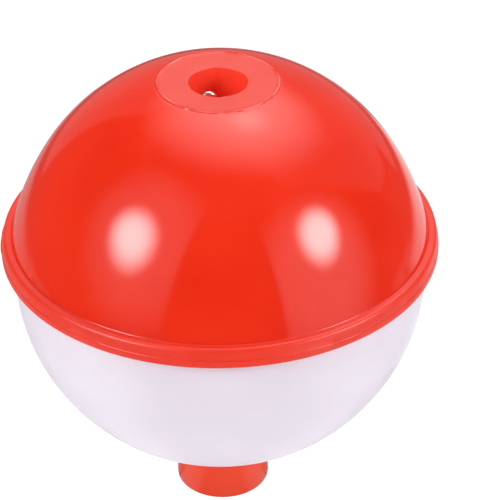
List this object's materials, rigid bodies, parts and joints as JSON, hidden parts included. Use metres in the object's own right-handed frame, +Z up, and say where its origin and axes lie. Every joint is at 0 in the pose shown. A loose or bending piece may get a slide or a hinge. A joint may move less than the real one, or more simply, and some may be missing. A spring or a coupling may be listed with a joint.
{
  "type": "bobber float",
  "caption": "Round push-button fishing float: red and white hollow shells with a rim, a spring-loaded push button and a double-hooked line wire.",
  "frame": {"origin": "middle of the push button's flat end, which is the lowest face", "axes": "+Z up the float's axis, from the button to the crown; +Y away from the front keyway of the hook recess; the upper hook's tip lies towards -X"},
  "size_m": [0.0508, 0.0508, 0.055],
  "materials": {
    "red_plastic": "glossy moulded",
    "white_plastic": "smooth moulded, slightly translucent",
    "button_plastic": "satin moulded",
    "hook_wire": "bright drawn",
    "spring_steel": "drawn"
  },
  "bodies": {
    "float_body": {"upper_shell": "red_plastic", "lower_shell": "white_plastic", "return_spring": "spring_steel"},
    "wire": {"line_wire": "hook_wire"},
    "button": {"push_button": "button_plastic"}
  },
  "joints": [
    {"name": "wire_slide", "type": "slide", "parent": "float_body", "child": "wire", "axis": [0, 0, 1], "range_m": [0, 0.006], "stiffness_N_per_m": 500, "springref_m": -0.0006, "deforming": ["return_spring"]},
    {"name": "button_slide", "type": "slide", "parent": "wire", "child": "button", "axis": [0, 0, 1], "range_m": [0, 0.0046], "stiffness_N_per_m": 500, "springref_m": -0.0006, "deforming": ["return_spring"]}
  ]
}
